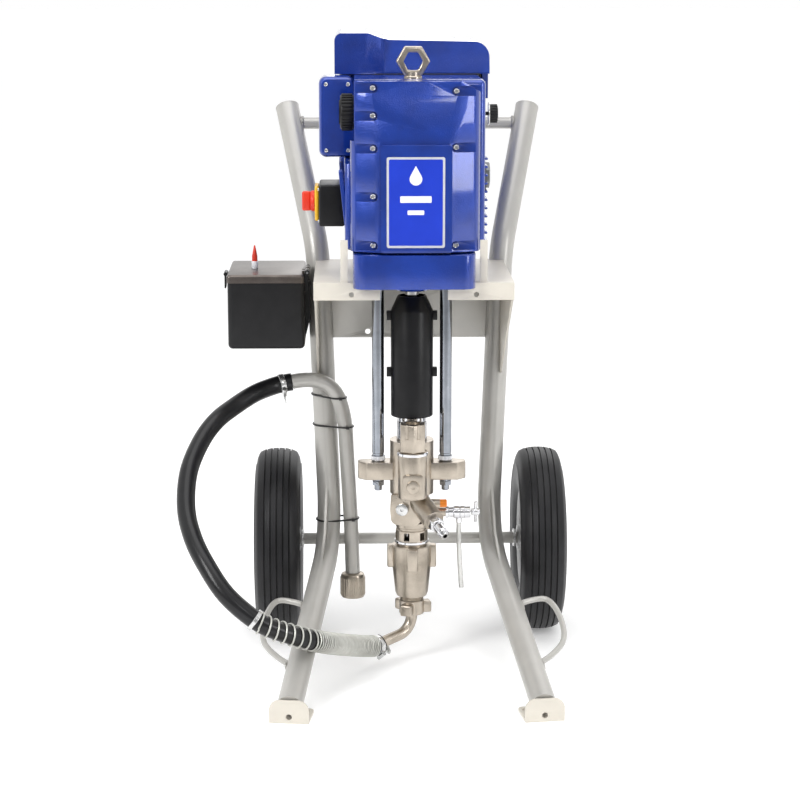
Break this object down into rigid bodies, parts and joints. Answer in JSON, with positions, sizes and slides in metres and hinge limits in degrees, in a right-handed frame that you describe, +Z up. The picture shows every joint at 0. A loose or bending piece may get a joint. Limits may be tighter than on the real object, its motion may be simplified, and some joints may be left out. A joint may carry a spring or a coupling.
{
  "type": "airless paint sprayer",
  "caption": "Electric airless paint sprayer on a wheeled tube cart: blue drive unit, vertical piston pump, suction hose, hinged tool box, switch and strap hooks.",
  "frame": {"origin": "on the floor under the middle of the cart's outer box, with the suction hose left out", "axes": "+Z up, the front of the machine with its feet and pump towards -Y, +X to the right of someone who faces the front"},
  "size_m": [0.8307, 0.8417, 1.32],
  "materials": {
    "frame_grey": "satin grey powder coat",
    "shelf_beige": "satin warm grey powder coat",
    "tyre_rubber": "matt black rubber",
    "rim_steel": "grey paint",
    "blue_enamel": "glossy metallic blue",
    "board_green": "board",
    "black_plastic": "semi-gloss black",
    "dark_steel": "dark zinc",
    "plate_yellow": "gloss",
    "knob_red": "gloss",
    "copper_windings": "lacquered wire",
    "bright_steel": "polished",
    "pump_nickel": "nickel plate, satin",
    "relief_orange": "gloss",
    "clear_plastic": "milky",
    "hose_rubber": "glossy black",
    "zinc_wire": "zinc",
    "lid_steel": "brushed"
  },
  "bodies": {
    "cart": {"axle": "frame_grey", "back_panel": "frame_grey", "base_skirt": "blue_enamel", "cable_gland": "black_plastic", "control_board": "board_green", "control_cover": "blue_enamel", "control_housing": "blue_enamel", "drain_tube": "clear_plastic", "drain_valve": "bright_steel", "filter_cap": "pump_nickel", "foot_left": "shelf_beige", "foot_right": "shelf_beige", "front_cover": "blue_enamel", "handle_bar": "frame_grey", "hinge_pin": "dark_steel", "intake_elbow": "pump_nickel", "intake_housing": "pump_nickel", "junction_box": "blue_enamel", "lifting_ring": "dark_steel", "motor_housing": "blue_enamel", "motor_shelf": "shelf_beige", "motor_stator": "copper_windings", "outlet_fitting": "bright_steel", "pump_cylinder": "pump_nickel", "pump_manifold": "pump_nickel", "rail_left": "frame_grey", "rail_right": "frame_grey", "relief_cap": "relief_orange", "shroud_front": "black_plastic", "shroud_rear": "black_plastic", "spring_guard": "zinc_wire", "strainer": "dark_steel", "suction_hose": "hose_rubber", "suction_tube": "frame_grey", "switch_box": "black_plastic", "switch_plate": "plate_yellow", "tie_hook_left": "frame_grey", "tie_hook_right": "frame_grey", "tie_rod_left": "bright_steel", "tie_rod_rear": "bright_steel", "tie_rod_right": "bright_steel", "tool_box": "black_plastic", "union_nut": "pump_nickel", "wet_cup": "bright_steel"},
    "wheel_left": {"tyre_left": "tyre_rubber", "rim_left": "rim_steel"},
    "wheel_right": {"tyre_right": "tyre_rubber", "rim_right": "rim_steel"},
    "switch": {"switch_knob": "knob_red"},
    "pressure_dial": {"pressure_knob": "black_plastic"},
    "rotor": {"motor_rotor": "dark_steel"},
    "crank": {"crank_gear": "dark_steel"},
    "stroke": {"drive_shaft": "bright_steel", "coupling_nut": "dark_steel", "displacement_rod": "bright_steel"},
    "check_ball": {"intake_ball": "bright_steel"},
    "lid": {"tool_box_lid": "lid_steel", "oil_bottle": "knob_red"},
    "latch": {"lid_latch": "black_plastic"},
    "drain_lever": {"drain_handle": "bright_steel"}
  },
  "joints": [
    {"name": "wheel_left_spin", "type": "hinge", "parent": "cart", "child": "wheel_left", "pos_m": [-0.2634, 0.2179, 0.203], "axis": [1, 0, 0], "continuous": true},
    {"name": "wheel_right_spin", "type": "hinge", "parent": "cart", "child": "wheel_right", "pos_m": [0.3126, 0.2179, 0.203], "axis": [1, 0, 0], "continuous": true},
    {"name": "switch_turn", "type": "hinge", "parent": "cart", "child": "switch", "pos_m": [-0.1754, -0.0221, 0.984], "axis": [1, 0, 0], "range_deg": [0, 90]},
    {"name": "pressure_turn", "type": "hinge", "parent": "cart", "child": "pressure_dial", "pos_m": [0.1906, 0.1079, 1.152], "axis": [1, 0, 0], "range_deg": [0, 270]},
    {"name": "rotor_spin", "type": "hinge", "parent": "cart", "child": "rotor", "pos_m": [0.0246, -0.1021, 1.105], "axis": [0, 1, 0], "continuous": true},
    {"name": "crank_spin", "type": "hinge", "parent": "cart", "child": "crank", "pos_m": [0.0246, -0.1021, 1.01], "axis": [0, 1, 0], "continuous": true},
    {"name": "stroke_slide", "type": "slide", "parent": "cart", "child": "stroke", "axis": [0, 0, 1], "range_m": [0, 0.12]},
    {"name": "ball_lift", "type": "slide", "parent": "cart", "child": "check_ball", "axis": [0, 0, 1], "range_m": [0, 0.005]},
    {"name": "lid_hinge", "type": "hinge", "parent": "cart", "child": "lid", "pos_m": [-0.1934, 0.1007, 0.824], "axis": [0, 1, 0], "range_deg": [0, 75]},
    {"name": "latch_flip", "type": "hinge", "parent": "lid", "child": "latch", "pos_m": [-0.3664, 0.1079, 0.8165], "axis": [0, 1, 0], "range_deg": [0, 90]},
    {"name": "drain_turn", "type": "hinge", "parent": "cart", "child": "drain_lever", "pos_m": [0.1506, -0.0161, 0.3235], "axis": [1, 0, 0], "range_deg": [0, 90]}
  ],
  "couplings": [
    {"joint": "rotor_spin", "follows": "crank_spin", "ratio": -5.3333}
  ]
}
